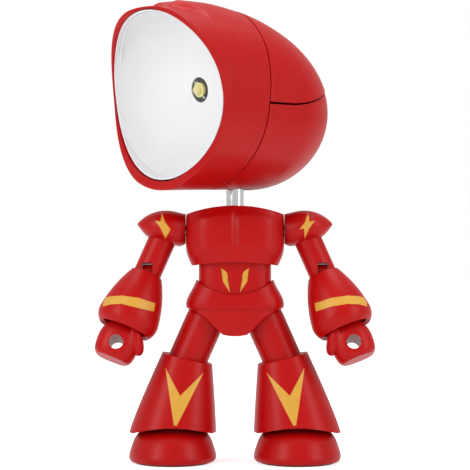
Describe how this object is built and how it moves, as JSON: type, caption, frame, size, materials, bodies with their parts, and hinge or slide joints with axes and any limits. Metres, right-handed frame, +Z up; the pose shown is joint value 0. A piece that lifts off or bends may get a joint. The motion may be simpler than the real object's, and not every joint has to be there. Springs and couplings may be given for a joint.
{
  "type": "robot shaped desk lamp",
  "caption": "Standing robot figure lamp: a large swivelling, tilting egg-shaped head holds a white reflector bowl and LED; arms, wrists and legs turn on pins.",
  "frame": {"origin": "on the surface that the lamp stands on, under the middle of its outside box", "axes": "+Z up, the robot faces -Y, its left hand is towards +X"},
  "size_m": [0.1464, 0.113, 0.2407],
  "materials": {
    "red_plastic": "satin moulded",
    "white_plastic": "matte",
    "bright_chrome": "polished",
    "steel": "zinc plated",
    "cast_aluminium": "as cast",
    "circuit_board": "solder mask",
    "lamp_yellow": "clear over yellow phosphor",
    "lead_sleeve": "matte",
    "natural_nylon": "moulded",
    "black_plastic": "fine texture",
    "cell_wrap": "shrink wrap",
    "foam_rubber": "foam",
    "sole_rubber": "matte",
    "yellow_print": "pad printed ink"
  },
  "bodies": {
    "torso": {"chest_front": "red_plastic", "chest_back": "red_plastic", "abdomen": "red_plastic", "pelvis_front": "red_plastic", "pelvis_back": "red_plastic", "pelvis_screw": "steel", "hip_axle": "steel", "torso_screws": "steel", "control_board": "circuit_board", "push_switch": "black_plastic", "charging_socket": "steel", "battery_cell": "cell_wrap", "battery_pad": "foam_rubber", "neck_bush": "natural_nylon"},
    "neck": {"neck_tube": "bright_chrome", "neck_knuckle": "bright_chrome", "neck_lead": "lead_sleeve", "neck_spring_washer": "steel", "neck_collar": "steel", "neck_nut": "steel"},
    "head": {"head_front_shell": "red_plastic", "head_crown": "red_plastic", "head_rear_shell": "red_plastic", "reflector": "white_plastic", "lamp_board": "circuit_board", "lamp_emitter": "lamp_yellow", "heat_sink": "cast_aluminium", "tilt_bracket": "bright_chrome", "tilt_pin": "steel", "tilt_washers": "steel", "bracket_screws": "steel", "head_lead": "lead_sleeve"},
    "button": {"power_button": "black_plastic"},
    "right_arm": {"right_shoulder_pad": "red_plastic", "right_shoulder_axle": "steel", "right_upper_arm": "red_plastic", "right_elbow_pin": "steel"},
    "right_forearm": {"right_gauntlet": "red_plastic"},
    "right_hand": {"right_fist": "red_plastic", "right_wrist_peg": "steel"},
    "right_leg": {"right_thigh": "red_plastic", "right_boot": "red_plastic", "right_foot": "red_plastic", "right_sole": "sole_rubber", "right_ankle_post": "natural_nylon"},
    "left_arm": {"left_shoulder_pad": "red_plastic", "left_shoulder_axle": "steel", "left_upper_arm": "red_plastic", "left_elbow_pin": "steel"},
    "left_forearm": {"left_gauntlet": "red_plastic"},
    "left_hand": {"left_fist": "red_plastic", "left_wrist_peg": "steel"},
    "left_leg": {"left_thigh": "red_plastic", "left_boot": "red_plastic", "left_foot": "red_plastic", "left_sole": "sole_rubber", "left_ankle_post": "natural_nylon"}
  },
  "joints": [
    {"name": "neck_swivel", "type": "hinge", "parent": "torso", "child": "neck", "pos_m": [0, 0.007, 0.125], "axis": [0, 0, 1], "range_deg": [-100, 190]},
    {"name": "head_tilt", "type": "hinge", "parent": "neck", "child": "head", "pos_m": [0, 0.007, 0.152], "axis": [0.66, -0.7513, 0], "range_deg": [-20, 12]},
    {"name": "power_press", "type": "slide", "parent": "torso", "child": "button", "axis": [0, -1, 0], "range_m": [0, 0.0008], "stiffness_N_per_m": 600},
    {"name": "right_shoulder_swing", "type": "hinge", "parent": "torso", "child": "right_arm", "pos_m": [-0.0365, 0.007, 0.122], "axis": [1, 0, 0], "range_deg": [-60, 40]},
    {"name": "right_elbow_bend", "type": "hinge", "parent": "right_arm", "child": "right_forearm", "pos_m": [-0.04619, 0.0039, 0.09993], "axis": [1, 0, 0], "range_deg": [-30, 8]},
    {"name": "right_wrist_turn", "type": "hinge", "parent": "right_forearm", "child": "right_hand", "pos_m": [-0.04619, 0.0039, 0.09993], "axis": [-0.3665, -0.2565, -0.8944], "range_deg": [-90, 90]},
    {"name": "right_hip_swing", "type": "hinge", "parent": "torso", "child": "right_leg", "pos_m": [-0.016, 0.007, 0.0745], "axis": [1, 0, 0], "range_deg": [-35, 25]},
    {"name": "left_shoulder_swing", "type": "hinge", "parent": "torso", "child": "left_arm", "pos_m": [0.0365, 0.007, 0.122], "axis": [1, 0, 0], "range_deg": [-60, 40]},
    {"name": "left_elbow_bend", "type": "hinge", "parent": "left_arm", "child": "left_forearm", "pos_m": [0.04619, 0.0039, 0.09993], "axis": [1, 0, 0], "range_deg": [-30, 8]},
    {"name": "left_wrist_turn", "type": "hinge", "parent": "left_forearm", "child": "left_hand", "pos_m": [0.04619, 0.0039, 0.09993], "axis": [0.3665, -0.2565, -0.8944], "range_deg": [-90, 90]},
    {"name": "left_hip_swing", "type": "hinge", "parent": "torso", "child": "left_leg", "pos_m": [0.016, 0.007, 0.0745], "axis": [1, 0, 0], "range_deg": [-35, 25]}
  ]
}
